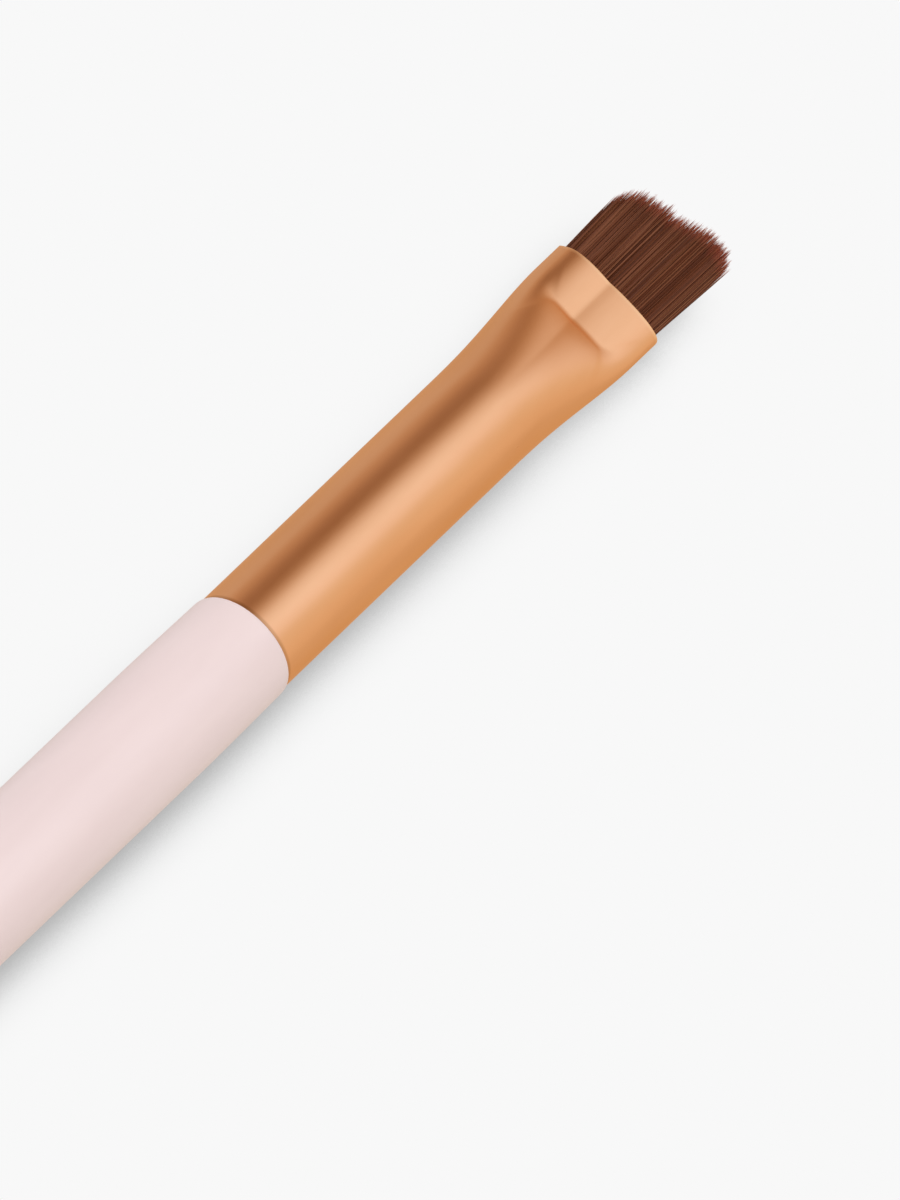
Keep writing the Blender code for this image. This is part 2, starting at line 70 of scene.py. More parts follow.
# Ferrules
FIT_GAP = 0.05 * MM
FERRULE_RADIUS = 3.25 * MM
FERRULE_WALL = 0.4 * MM
RIM_ROUNDING = 0.15 * MM
LIP_ROUNDING = 0.09 * MM
LIP_WALL = 0.13 * MM
BORE_LEAST = 0.04 * MM
BROW_FERRULE_LENGTH = 33.0 * MM
FLARE_LENGTH = 12.4 * MM
FLARE_DONE_SHARE = 0.82
FLARE_LATENESS = 1.3
MOUTH_HALF_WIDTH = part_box("brow_ferrule")[1].y
PAD_LENGTH = 3.46 * MM  # from the mouth back to the crimp
SPOOLIE_FERRULE_LENGTH = 24.0 * MM
NECKING_LENGTH = 9.0 * MM
NOSE_RADIUS = 1.6 * MM
NOSE_LENGTH = 1.2 * MM

# The flattened mouth, which the press left uneven: a shallow valley along its pads, and unlike sides
SECTION_SQUARENESS = 2.2
VALLEY_Y = 0.42 * MM
VALLEY_HALF_HEIGHT = 1.03 * MM
VALLEY_SOFTNESS = 0.06 * MM
LEFT_RISE = 0.08  # slope from the valley towards +Y
LEFT_EASING = 0.0243 / MM**2
LEFT_HALF_HEIGHT = 1.16 * MM
LEFT_SQUARENESS = 5.0
LEFT_ROUNDNESS = 0.97
LEFT_SOFTNESS = 0.14 * MM  # where the slope turns into the side
RIGHT_RISE = 0.135  # slope towards -Y
RIGHT_EASING = 0.039 / MM
RIGHT_HALF_HEIGHT = 1.16 * MM
RIGHT_SQUARENESS = 3.0
RIGHT_SOFTNESS = 0.1 * MM
PRESS_LATENESS = 1.6  # the walls come together ever faster up to the crimp
CRIMP_ROUNDING = 0.3 * MM
SIDE_ROUNDING = 2.6 * MM  # the crimp fades towards the sides
SIDES_FROM, SIDES_TO = 1.7 * MM, 3.4 * MM
CREASE_LENGTH = 2.0 * MM  # of the steeper strip behind the crimp
CREASE_SHARE = 0.075  # of the tube's flattening that is left to it

# Marks on the brow ferrule: a painted shade on its rim at the handle, a paler lip that is partly bare cut
# metal and partly a painted highlight, and pale scratches behind the crimp
RIM_PAINTED_SHADE = (0.64, 0.34, 0.18)  # its rim at the handle
# Pale bare metal of the scratches, and of the lip, where it is partly a painted highlight
PALE_METAL_AND_PAINTED_HIGHLIGHT = (0.96, 0.62, 0.37)
CUT_ROUGHNESS = 0.15
SCUFF_LENGTH = 0.75 * MM
SCUFF_WIDTH = 3 * MM
SCUFF_GRAIN = 0.07 * MM
SCUFF_STRETCH = (0.45, 1.3, 1)
SCUFF_SHARES = ((0.62, 0.0), (0.68, 1.0))
SCUFF_ALONG = ((0.0, 0.0), (0.5, 0.35), (0.8, 0.8), (1.0, 0.0))
SCUFF_ACROSS = ((0.0, 0.0), (0.2, 0.7), (0.8, 0.7), (1.0, 0.0))

# Stuffs: the darker and the lighter of each one's mottled colours, and the size of what is on its surface
MOTTLE_FROM, MOTTLE_TO = 0.3, 0.7  # of the noise
MOTTLE_DEPTH = 0.025  # of the size of its features
PINK_COLOURS = ((0.845, 0.685, 0.678), (0.885, 0.725, 0.716))
PINK_ROUGHNESS = (0.36, 0.5)
PINK_MOTTLE = 2.5 * MM
PINK_GRAIN = 0.35 * MM
PINK_GRAIN_DEPTH = 0.004 * MM
COPPER_COLOURS = ((0.84, 0.455, 0.245), (0.88, 0.495, 0.28))
COPPER_GLANCING = (1.0, 0.78, 0.55, 1.0)
COPPER_ROUGHNESS = (0.25, 0.36)
COPPER_MOTTLE = 1.8 * MM
COPPER_LINES = 0.06 * MM
COPPER_LINE_DEPTH = 0.0012 * MM
STEEL_COLOURS = ((0.52, 0.5, 0.48), (0.66, 0.64, 0.61))
EPOXY_COLOURS = ((0.68, 0.54, 0.28), (0.78, 0.65, 0.38))
THREAD_COLOURS = ((0.66, 0.6, 0.5), (0.8, 0.75, 0.66))
HOLDER_COLOURS = ((0.74, 0.72, 0.69), (0.82, 0.8, 0.77))
PAPER_COLOURS = ((0.934, 0.934, 0.934), (0.938, 0.938, 0.938))
PAPER_MOTTLE = 60 * MM

# Tuft and its root
TUFT_RIGHT, TUFT_LEFT = -3.345 * MM, 3.445 * MM  # at the mouth
ROOT_RADIUS = 1.75 * MM
ROOT_TIED_LENGTH = 3.2 * MM
PLUG_LENGTH = 2.2 * MM

# Spoolie
WIRE_PITCH = 3.0 * MM
WIRE_NECK = 4.0 * MM
WIRE_INSERT = 7.5 * MM
WIRE_RADIUS = 0.275 * MM
WIRE_OFFSET = 0.31 * MM
STEM_RADIUS = 0.67 * MM
SPOOLIE_LENGTH = 24.0 * MM
SPOOLIE_RADIUS = 3.2 * MM
SPOOLIE_TIP_RADIUS = 2.1 * MM
SPOOLIE_END_ROUNDING = 1.6 * MM

# Places worked out from them, with X counted from the middle of the brush's length as in the solids
FACET_SHARE = math.cos(math.pi / SOLID_SIDES)
AXIS_HEIGHT = HANDLE_DIAMETER / 2 * FACET_SHARE
HANDLE_RADIUS = HANDLE_DIAMETER / 2 * FACET_SHARE
SHOULDER_RADIUS = SHOULDER_DIAMETER / 2 * FACET_SHARE
BROW_SHOULDER_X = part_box("brow_ferrule")[0].x - FIT_GAP
SPOOLIE_SHOULDER_X = BROW_SHOULDER_X - HANDLE_LENGTH
MOUTH_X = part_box("brow_ferrule")[1].x
NOSE_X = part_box("spoolie_ferrule")[0].x
TUFT_END_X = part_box("brow_tuft")[1].x
ROOT_LENGTH = BROW_FERRULE_LENGTH - TENON_LENGTH - PLUG_LENGTH

# Surfaces
SIDES = 192
ARC_STEPS = 8
SWELL_STEPS = 20
HANDLE_STEPS = 30
TUBE_STEPS = 16
FLARE_STEPS = 56
CRIMP_STEPS = 16
PAD_STEPS = 16
BORE_STEPS = 12
NECKING_STEPS = 40
SPOOLIE_TUBE_STEPS = 6

# Brow fibres
FIBRE_PITCH = 0.064 * MM
FIBRE_RADIUS = 0.034 * MM
FIBRE_SIDES = 3
FIBRE_JITTER = 0.35  # of the pitch, to either side
FIBRE_WANDER = 0.4  # of its radius, at the tip
FIBRE_TAPER = 1.9 * MM
FIBRE_TAPER_POWER = 0.75
FIBRE_BOW = 0.02 * MM
FIBRE_SHORT = 0.3 * MM  # how far most tips stop short of the outline
FIBRE_RAGGED = 0.24 * MM
FIBRE_SEED = 11
CLUMP_PITCH = 0.22 * MM
CLUMP_LEVELS = (-0.26 * MM, 0, 0.26 * MM)
CLUMP_JITTER = 0.35
CLUMP_RAGGED = 0.12 * MM
CLUMP_POINT = 0.16 * MM  # how much shorter a clump's outermost fibres are
CLUMP_PULL = 0.07
CLUMP_START_SHARE = 0.5
CLUMP_TINT_SHARE = 0.1
TUFT_FLARE = 0.045
TUFT_TIP_THICKNESS = 0.62
TUFT_OUTLINE = (  # mm across, and mm beyond the mouth
    (-3.5, 6.9),
    (-2.8, 7.8),
    (-2.1, 7.95),
    (-1.0, 7.6),
    (0.5, 6.9),
    (1.9, 6.62),
    (2.7, 6.2),
    (3.5, 5.3),
)
FIBRE_STATION_SHARES = (0, 0.3, 0.58, 0.78, 0.9, 0.965)
FIBRE_LEAST_ROWS = 3
STRAYS = 5
STRAY_BAND = 0.12 * MM  # of the mouth's -Y end that they start in
STRAY_OUT = (0.17 * MM, 0.255 * MM)
STRAY_LENGTH = 7.1 * MM

# Colours of the fibres, by each one's own tint
BROWN_STOPS = ((0.0, (0.08, 0.02, 0.008)), (0.55, (0.15, 0.043, 0.018)), (1.0, (0.25, 0.092, 0.042)))
RED_STOPS = ((0.0, (0.24, 0.044, 0.022)), (0.55, (0.37, 0.08, 0.042)), (1.0, (0.52, 0.16, 0.09)))
DARK_STOPS = ((0.0, (0.04, 0.015, 0.009)), (1.0, (0.14, 0.052, 0.03)))
RED_FROM, RED_TO = 0.82, 0.98  # shares of a fibre's length between which it turns to its tip's colour

# Spoolie filaments
FILAMENTS = 1200
FILAMENT_RADIUS = 0.04 * MM
FILAMENT_SEED = 5
FILAMENT_SIDES = 3
FILAMENT_TURN = 13  # degrees that one strays from the wire's twist
FILAMENT_SHORT = 0.03
FILAMENT_LEAN = 0.14 * MM
FILAMENT_JITTER = (0.2, 0.8)
FILAMENT_STATION_SHARES = (-1.0, -0.55, -0.12, 0.12, 0.55, 1.0)
WIRE_SIDES = 14
WIRE_POINTS_PER_TURN = 24
WIRE_BEND_STEPS = 12

# Camera, at the photograph's angle: it looks down and along +X, and is turned about its own axis
LOOK_ALONG = 0.54
ROLL = math.radians(43.87)
VIEW_AHEAD = 11.88 * MM  # from the handle's brow end to the middle of the picture
VIEW_ASIDE = -6.06 * MM
VIEW_HEIGHT = 65.33 * MM
VIEW_CENTRE = Vector((BROW_SHOULDER_X + VIEW_AHEAD, VIEW_ASIDE, AXIS_HEIGHT))
SENSOR = 36.0  # in the camera's own units, along the picture's long side
LENS = 1200.0
NEAR, FAR = 0.05, 50.0

# Floor and the shade that the camera sees beside the brush: how dark it is, by how much of the sky near by
# is open. The levels were fitted to the photograph's, and are no shadow of the lamp.
FLOOR_HALF = 6.0
SHADE_TILT = math.radians(20)
SHADE_REACH = 4.7 * MM
SHADE_SAMPLES = 16
SHADE_STOPS = (
    (0.0, 0.15),
    (0.41, 0.5),
    (0.45, 0.57),
    (0.49, 0.635),
    (0.53, 0.715),
    (0.565, 0.775),
    (0.6, 0.825),
    (0.64, 0.86),
    (0.68, 0.883),
    (0.75, 0.913),
    (0.82, 0.928),
    (0.93, 0.936),
    (1.0, 0.939),
)

# How much deeper that shade is along the brush, by distance before the mouth, fitted in the same way
SHADE_FAR, SHADE_NEAR = -40 * MM, 12 * MM
SHADE_GAINS = (
    (0.12, 1.0),
    (0.48, 0.96),
    (0.61, 0.97),
    (0.683, 1.1),
    (0.721, 1.2),
    (0.758, 1.36),
    (0.795, 1.48),
    (0.82, 1.38),
    (0.87, 1.42),
    (0.9, 1.4),
    (1.0, 1.0),
)

# What the metal reflects of the floor, from -Y to +Y, fitted to the photograph
MIRRORED_REACH = 8 * MM
MIRRORED_STOPS = ((0.0, (0.76, 0.61, 0.43)), (1.0, (0.69, 0.6, 0.53)))

# What the metal reflects, by degrees from overhead towards -Y: a broad lamp, a darker gap and a pale wall.
# The colours were fitted until the ferrule's levels agreed with the photograph's.
SKY_STOPS = (
    (-152, (0.73, 0.75, 0.78)),
    (-107, (0.655, 0.505, 0.375)),
    (-89, (0.645, 0.475, 0.335)),
    (-74, (0.555, 0.385, 0.262)),
    (-60, (0.365, 0.233, 0.158)),
    (-46, (0.285, 0.158, 0.085)),
    (-32, (0.43, 0.283, 0.17)),
    (-19.5, (0.715, 0.615, 0.52)),
    (-7.5, (0.96, 0.95, 0.97)),
    (9, (1.075, 1.125, 1.2)),
    (23, (1.06, 1.05, 1.11)),
    (47, (0.884, 0.784, 0.626)),
    (74, (0.877, 0.726, 0.542)),
    (107, (0.82, 0.635, 0.43)),
    (152, (0.69, 0.65, 0.65)),
)
# How it turns to one brown towards +X, which comes later on the -Y side
SKY_END = (0.61, 0.385, 0.21)
SKY_END_SKEW = -0.5
SKY_END_STOPS = (
    (0.6, 0.0),
    (0.69, 0.06),
    (0.78, 0.3),
    (0.843, 0.38),
    (0.875, 0.48),
    (0.93, 0.68),
    (0.965, 0.86),
    (1.0, 1.0),
)
AMBIENT = 0.61
AMBIENT_WARM = (1.01, 0.995, 0.955)  # from -Y
AMBIENT_COOL = (0.99, 1.005, 1.03)  # from +Y
KEY_LEVEL = 0.43
KEY_TILT = math.radians(8)
KEY_DISTANCE = 0.9
KEY_SIZE = 0.5
BACKGROUND = 0.939


def mix(first, second, share):
    return first + (second - first) * share


def clamp(share):
    return min(max(share, 0.0), 1.0)


def smoothstep(share):
    share = clamp(share)
    return share * share * (3 - 2 * share)


# Materials
def link(tree, source, target):
    tree.links.new(source, target)


def value_node(tree, kind, inputs=(), **settings):
    """A shader node with its settings, and its inputs given as {socket: number or output}."""
    node = tree.nodes.new(kind)
    for name, value in settings.items():
        setattr(node, name, value)
    for name, value in dict(inputs).items():
        if isinstance(value, bpy.types.NodeSocket):
            link(tree, value, node.inputs[name])
        else:
            node.inputs[name].default_value = value
    return node


def ramp(tree, factor, stops, interpolation="LINEAR"):
    """A colour ramp driven by factor, with (place, colour) stops."""
    node = value_node(tree, "ShaderNodeValToRGB", {"Fac": factor})
    node.color_ramp.interpolation = interpolation
    elements = node.color_ramp.elements
    while len(elements) < len(stops):
        elements.new(0.5)
    for element, (place, colour) in zip(elements, stops):
        element.position = place
        element.color = (*colour, 1.0)
    return node.outputs["Color"]


def noise(tree, feature, stretch=(1, 1, 1), detail=4.0):
    """Noise with features of about this size in metres, stretched along the axes."""
    place = value_node(tree, "ShaderNodeTexCoord").outputs["Object"]
    scale = tuple(1 / (feature * s) for s in stretch)
    moved = value_node(tree, "ShaderNodeMapping", {"Vector": place, "Scale": scale})
    made = {"Vector": moved.outputs["Vector"], "Scale": 1.0, "Detail": detail}
    return value_node(tree, "ShaderNodeTexNoise", made).outputs["Fac"]


def remap(tree, value, low, high, start=0.0, end=1.0):
    inputs = {"Value": value, "From Min": start, "From Max": end, "To Min": low, "To Max": high}
    return value_node(tree, "ShaderNodeMapRange", inputs).outputs["Result"]


def shader(name, **sockets):
    """(material, tree, Principled node) with constant numbers on the shader's own sockets."""
    material = bpy.data.materials.new(name)
    material.use_nodes = True
    tree = material.node_tree
    principled = tree.nodes["Principled BSDF"]
    for socket, value in sockets.items():
        principled.inputs[socket.replace("_", " ")].default_value = value
    return material, tree, principled


def bump(tree, principled, height, distance):
    node = value_node(tree, "ShaderNodeBump", {"Height": height, "Distance": distance, "Strength": 1.0})
    link(tree, node.outputs["Normal"], principled.inputs["Normal"])


def calculate(tree, operation, *values):
    return value_node(tree, "ShaderNodeMath", enumerate(values), operation=operation).outputs[0]


def point_number(tree, name):
    """One of the two numbers that Builder keeps on each point."""
    return value_node(tree, "ShaderNodeAttribute", attribute_name=name).outputs["Fac"]


def axes(tree, coordinates):
    """X, Y and Z outputs of these texture coordinates."""
    place = value_node(tree, "ShaderNodeTexCoord").outputs[coordinates]
    return value_node(tree, "ShaderNodeSeparateXYZ", {"Vector": place}).outputs


def greys(stops):
    return [(place, (level,) * 3) for place, level in stops]


def blended(tree, share, under, over):
    """The under colour, turned into the over one by this share."""
    inputs = {"Factor": share, "A": under, "B": over}
    return value_node(tree, "ShaderNodeMix", inputs, data_type="RGBA").outputs["Result"]


def mottle(tree, cloud, colours):
    """The darker and the lighter colour, mixed by this noise."""
    dark, light = colours
    return ramp(tree, cloud, ((MOTTLE_FROM, dark), (MOTTLE_TO, light)))


def lacquer():
    """Smooth satin lacquer over sanded wood: faint mottling and a very shallow ripple."""
    material, tree, principled = shader("pink_lacquer_seen", Coat_Weight=0.12, Coat_Roughness=0.22)
    colour = mottle(tree, noise(tree, PINK_MOTTLE, stretch=(4, 1, 1), detail=3), PINK_COLOURS)
    link(tree, colour, principled.inputs["Base Color"])
    grain = noise(tree, PINK_GRAIN, stretch=(3, 1, 1), detail=5)
    link(tree, remap(tree, grain, *PINK_ROUGHNESS), principled.inputs["Roughness"])
    bump(tree, principled, grain, PINK_GRAIN_DEPTH)
    return material


def scuffs(tree):
    """Share of small scratches across the tube, in a strip behind the brow ferrule's crimp."""
    x, y, _ = axes(tree, "Object")
    crimp_x = MOUTH_X - PAD_LENGTH
    along = remap(tree, x, 0.0, 1.0, crimp_x - SCUFF_LENGTH, crimp_x + SCUFF_LENGTH / 4)
    across = remap(tree, y, 0.0, 1.0, -SCUFF_WIDTH, SCUFF_WIDTH / 2)
    near = ramp(tree, along, greys(SCUFF_ALONG))
    amid = ramp(tree, across, greys(SCUFF_ACROSS))
    marks = ramp(tree, noise(tree, SCUFF_GRAIN, SCUFF_STRETCH, detail=2), greys(SCUFF_SHARES))
    return calculate(tree, "MULTIPLY", calculate(tree, "MULTIPLY", near, amid), marks)


def copper():
    """Satin anodised aluminium: fine lines along the drawn tube, small scratches behind the crimp, a painted
    shade on the rim at the handle and a paler lip, partly bare cut metal and partly a painted highlight.
    """
    material, tree, principled = shader("copper_seen", Metallic=1.0)
    principled.inputs["Specular Tint"].default_value = COPPER_GLANCING
    colour = mottle(tree, noise(tree, COPPER_MOTTLE, stretch=(5, 1, 1)), COPPER_COLOURS)
    lip_wear_and_highlight = point_number(tree, "tint")
    # Painted shade: the rim at the handle is darker, standing for the shade in the joint and the dark it
    # reflects
    colour = blended(tree, point_number(tree, "along"), colour, (*RIM_PAINTED_SHADE, 1.0))
    # Paler lip: partly bare cut metal, partly a painted highlight
    colour = blended(tree, lip_wear_and_highlight, colour, (*PALE_METAL_AND_PAINTED_HIGHLIGHT, 1.0))
    colour = blended(tree, scuffs(tree), colour, (*PALE_METAL_AND_PAINTED_HIGHLIGHT, 1.0))
    link(tree, colour, principled.inputs["Base Color"])
    lines = noise(tree, COPPER_LINES, stretch=(14, 1, 1), detail=3)
    smoother = remap(tree, lines, *COPPER_ROUGHNESS)
    rough = calculate(tree, "MULTIPLY_ADD", lip_wear_and_highlight, CUT_ROUGHNESS, smoother)
    link(tree, rough, principled.inputs["Roughness"])
    bump(tree, principled, lines, COPPER_LINE_DEPTH)
    return material


def fibres(name, roots, tips, roughness):
    """Hair whose tint differs from one to the next and turns to another colour at the tips."""
    material, tree, principled = shader(name, Roughness=roughness, Specular_IOR_Level=0.2)
    tint = point_number(tree, "tint")
    share = remap(tree, point_number(tree, "along"), 0.0, 1.0, RED_FROM, RED_TO)
    colour = blended(tree, share, ramp(tree, tint, roots), ramp(tree, tint, tips))
    link(tree, colour, principled.inputs["Base Color"])
    return material


def mottled(name, colours, feature, roughness, **sockets):
    """A plain stuff with a mottled colour, roughness and surface."""
    material, tree, principled = shader(name, **sockets)
    cloud = noise(tree, feature)
    link(tree, mottle(tree, cloud, colours), principled.inputs["Base Color"])
    link(tree, remap(tree, cloud, *roughness), principled.inputs["Roughness"])
    bump(tree, principled, cloud, feature * MOTTLE_DEPTH)
    return material


# Meshes
class Builder:
    """Points and faces of one mesh, with two numbers kept on each point."""

    def __init__(self):
        self.points, self.faces, self.tint, self.along = [], [], [], []

    def loop(self, points, tint=0.0, along=0.0):
        first = len(self.points)
        self.points += points
        self.tint += [tint] * len(points)
        self.along += [along] * len(points)
        return range(first, first + len(points))

    def bridge(self, near, far):
        count = len(near)
        for i in range(count):
            j = (i + 1) % count
            self.faces.append((near[i], near[j], far[j], far[i]))

    def fan(self, near, tip):
        count = len(near)
        for i in range(count):
            self.faces.append((near[i], near[(i + 1) % count], tip))

    def piece(self, name, material, slot, *nodes):
        """The finished piece, riding on the brush in place of these solids."""
        mesh = bpy.data.meshes.new(name)
        mesh.from_pydata(self.points, [], self.faces)
        for attribute in ("tint", "along"):
            values = getattr(self, attribute)
            if any(values):
                layer = mesh.attributes.new(attribute, "FLOAT", "POINT")
                layer.data.foreach_set("value", values)
        mesh.shade_smooth()
        mesh.set_sharp_from_angle(angle=SHARP_ANGLE)
        mesh.materials.append(material)
        made = bpy.data.objects.new(name, mesh)
        bpy.context.scene.collection.objects.link(made)
        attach(made, "root")
        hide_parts(*nodes)


def circle(x, radius):
    turns = [math.tau * (i + 0.5) / SIDES for i in range(SIDES)]
    return [(x, radius * math.cos(turn), AXIS_HEIGHT + radius * math.sin(turn)) for turn in turns]


def turned(profile, closed=False):
    """A Builder with (x, radius) points turned about the brush's axis, from -X to +X along the outside."""
    built = Builder()
    loops = [built.loop(circle(x, radius)) for x, radius in profile]
    for near, far in zip(loops, loops[1:]):
        built.bridge(near, far)
    if closed:
        built.bridge(loops[-1], loops[0])
    else:
        built.faces.append(tuple(loops[0])[::-1])
        built.faces.append(tuple(loops[-1]))
    return built


def quarter():
    """(sine, one less cosine) round a quarter turn, for a rounded edge."""
    turns = [math.pi / 2 * i / ARC_STEPS for i in range(ARC_STEPS + 1)]
    return [(math.sin(turn), 1 - math.cos(turn)) for turn in turns]


def spaced(start, end, steps):
    return [mix(start, end, i / steps) for i in range(steps)]


# Handle
def handle_half(shoulder_x, outward):
    """Half of the handle's profile, from the end of its tenon to the full diameter.

    The lacquered shoulder runs up to the ferrule's rim and closes the fit gap.
    """
    tenon_end = shoulder_x + outward * TENON_LENGTH
    face_x = shoulder_x + outward * FIT_GAP
    profile = [
        (tenon_end, TENON_RADIUS - TENON_CHAMFER),
        (tenon_end - outward * TENON_CHAMFER, TENON_RADIUS),
        (face_x, TENON_RADIUS),
    ]
    for rise, run in quarter():
        x = face_x - outward * SHOULDER_EASE * run
        profile.append((x, SHOULDER_RADIUS - SHOULDER_DROP * (1 - rise)))
    for i in range(1, SWELL_STEPS + 1):
        share = i / SWELL_STEPS
        x = face_x - outward * mix(SHOULDER_EASE, SWELL_LENGTH, share)
        profile.append((x, mix(SHOULDER_RADIUS, HANDLE_RADIUS, math.sin(math.pi / 2 * share))))
    return profile


def make_handle(material):
    spoolie_half = handle_half(SPOOLIE_SHOULDER_X, -1)
    brow_half = handle_half(BROW_SHOULDER_X, 1)
    middle = spaced(spoolie_half[-1][0], brow_half[-1][0], HANDLE_STEPS)[1:]
    built = turned(spoolie_half + [(x, HANDLE_RADIUS) for x in middle] + brow_half[::-1])
    built.piece("handle_turned", material, "pink_lacquered_wood", "handle")


# Brow ferrule
def flare_share(back):
    """How far the tube has widened, at a distance behind the mouth."""
    along = max(1 - back / FLARE_LENGTH, 0.0) / FLARE_DONE_SHARE
    return smoothstep(along**FLARE_LATENESS)


def soft_least(first, second, width):
    """The lesser of two numbers, rounded over where they are nearly alike."""
    share = clamp(0.5 + (second - first) / width / 2)
    return mix(second, first, share) - width / 2 * share * (1 - share)


def press_share(back, y):
    """How far its walls have come together, at a distance behind the mouth and a place across it."""
    sideways = smoothstep((abs(y) - SIDES_FROM) / (SIDES_TO - SIDES_FROM))
    rounding = mix(CRIMP_ROUNDING, SIDE_ROUNDING, sideways)
    length = FLARE_LENGTH - PAD_LENGTH
    along = max(FLARE_LENGTH - back, 0.0) / length
    along = max(soft_least(along, 1.0, rounding / length), 0.0)
    crease = clamp(1 - (1 - along) * length / CREASE_LENGTH)
    return along**PRESS_LATENESS * (1 - CREASE_SHARE) + CREASE_SHARE * crease**3


def mouth_half_height(y):
    """Half the height of the flattened tube's outside at a place across it."""
    left = (math.hypot(y - VALLEY_Y, VALLEY_SOFTNESS) + y - VALLEY_Y) / 2
    right = left - (y - VALLEY_Y)
    pad = VALLEY_HALF_HEIGHT + LEFT_RISE * left - LEFT_EASING * left**3
    pad += RIGHT_RISE * right - RIGHT_EASING * right**2
    share = min(abs(y) / MOUTH_HALF_WIDTH, 1.0)
    if y > VALLEY_Y:
        side = LEFT_HALF_HEIGHT * (1 - share**LEFT_SQUARENESS) ** LEFT_ROUNDNESS
        return soft_least(pad, side, LEFT_SOFTNESS)
    side = RIGHT_HALF_HEIGHT * (1 - share**RIGHT_SQUARENESS) ** (1 / RIGHT_SQUARENESS)
    return soft_least(pad, side, RIGHT_SOFTNESS)


def tube_loop(back, inset):
    """A section of the tube between its round end and its mouth, this far inside its outer surface."""
    widened = flare_share(back)
    points = []
    for i in range(SIDES):
        angle = math.tau * (i + 0.5) / SIDES
        across = math.copysign(abs(math.cos(angle)) ** (2 / SECTION_SQUARENESS), math.cos(angle))
        tall = max(mouth_half_height(across * MOUTH_HALF_WIDTH), 0.0)
        tall = max(tall - inset, min(tall, BORE_LEAST))
        pressed = press_share(back, across * MOUTH_HALF_WIDTH)
        round_radius = FERRULE_RADIUS - inset
        y = mix(round_radius * math.cos(angle), (MOUTH_HALF_WIDTH - inset) * across, widened)
        z = mix(round_radius * abs(math.sin(angle)), tall, pressed)
        points.append((MOUTH_X - back, y, AXIS_HEIGHT + math.copysign(z, math.sin(angle))))
    return points


def make_brow_ferrule(material):
    built = Builder()
    crimp_back = PAD_LENGTH + CRIMP_ROUNDING
    crimp_front = PAD_LENGTH - CRIMP_ROUNDING
    rim = []
    for rise, run in quarter():
        back = BROW_FERRULE_LENGTH - RIM_ROUNDING * run
        rim.append(tube_loop(back, RIM_ROUNDING * (1 - rise)))
    stations = spaced(BROW_FERRULE_LENGTH - 2 * RIM_ROUNDING, FLARE_LENGTH, TUBE_STEPS)
    stations += spaced(FLARE_LENGTH, crimp_back, FLARE_STEPS)
    stations += spaced(crimp_back, crimp_front, CRIMP_STEPS)
    stations += spaced(crimp_front, LIP_ROUNDING, PAD_STEPS)
    outside = [tube_loop(back, 0) for back in stations]
    lip = [tube_loop(LIP_ROUNDING * (1 - rise), LIP_ROUNDING * run) for rise, run in quarter()]
    inside = [tube_loop(back, LIP_WALL) for back in (0, PAD_LENGTH / 2, PAD_LENGTH)]
    deeper = spaced(crimp_back, FLARE_LENGTH, BORE_STEPS) + [FLARE_LENGTH, BROW_FERRULE_LENGTH]
    inside += [tube_loop(back, FERRULE_WALL) for back in deeper]
    # The rim's loops carry along = 1, which the copper paints darker as shade
    rings = [built.loop(points, along=1.0) for points in rim]
    rings += [built.loop(points) for points in outside]
    # The lip's loops carry tint = 1, which the copper paints paler: partly bare cut metal, partly a painted
    # highlight
    rings += [built.loop(points, tint=1.0) for points in lip]
    rings += [built.loop(points) for points in inside]
    for near, far in zip(rings, rings[1:] + rings[:1]):
        built.bridge(near, far)
    built.piece("brow_ferrule_drawn", material, "copper_anodised", "brow_ferrule")


# Brow fibres
def bore_half_height(y):
    outer = mouth_half_height(y * MOUTH_HALF_WIDTH / (MOUTH_HALF_WIDTH - LIP_WALL))
    return max(outer - LIP_WALL, BORE_LEAST)


def fibre_places(chance):
    """(y, z) of each fibre at the mouth, on a jittered grid that fills the bore."""
    columns = round((TUFT_LEFT - TUFT_RIGHT) / FIBRE_PITCH)
    places = []
    for i in range(columns + 1):
        y = mix(TUFT_RIGHT, TUFT_LEFT, i / columns)
        tall = max(bore_half_height(y) - FIBRE_RADIUS, 0)
        rows = max(round(2 * tall / FIBRE_PITCH), FIBRE_LEAST_ROWS)
        for j in range(rows + 1):
            jitter_y = chance.uniform(-FIBRE_JITTER, FIBRE_JITTER) * FIBRE_PITCH
            jitter_z = chance.uniform(-FIBRE_JITTER, FIBRE_JITTER) * FIBRE_PITCH
            z = mix(-tall, tall, (j + 0.5 * (i % 2) * (0 < j < rows)) / rows)
            places.append((y + jitter_y, min(max(z + jitter_z, -tall), tall)))
    return places


def root_place(y, z):
    """Where a fibre is in the round tied root, from its place in the flat mouth."""
    across = y / TUFT_LEFT
    up = z / (VALLEY_HALF_HEIGHT - LIP_WALL)
    span = math.hypot(across, up)
    if span == 0:
        return 0.0, 0.0
    far = ROOT_RADIUS * max(abs(across), abs(up)) / span
    return across * far, up * far


def fibre(built, path, radii, tint, shares):
    """One tapered fibre along +X, through the points of its path to its last one, the tip."""
    rings = []
    for (x, y, z), radius, share in zip(path, radii, shares):
        turns = [math.tau * (k / FIBRE_SIDES + tint) for k in range(FIBRE_SIDES)]
        points = [(x, y + radius * math.cos(t), z + radius * math.sin(t)) for t in turns]
        rings.append(built.loop(points, tint, share))
    for near, far in zip(rings, rings[1:]):
        built.bridge(near, far)
    built.faces.append(tuple(rings[0])[::-1])
    tip = built.loop([path[-1]], tint, 1.0)[0]
    built.fan(rings[-1], tip)


def outline_reach(y):
    """How far the cut of the tuft reaches beyond the mouth at y: a slant with rounded corners."""
    for (right, near), (left, far) in zip(TUFT_OUTLINE, TUFT_OUTLINE[1:]):
        if y <= left * MM:
            break
    return mix(near, far, clamp((y / MM - right) / (left - right))) * MM


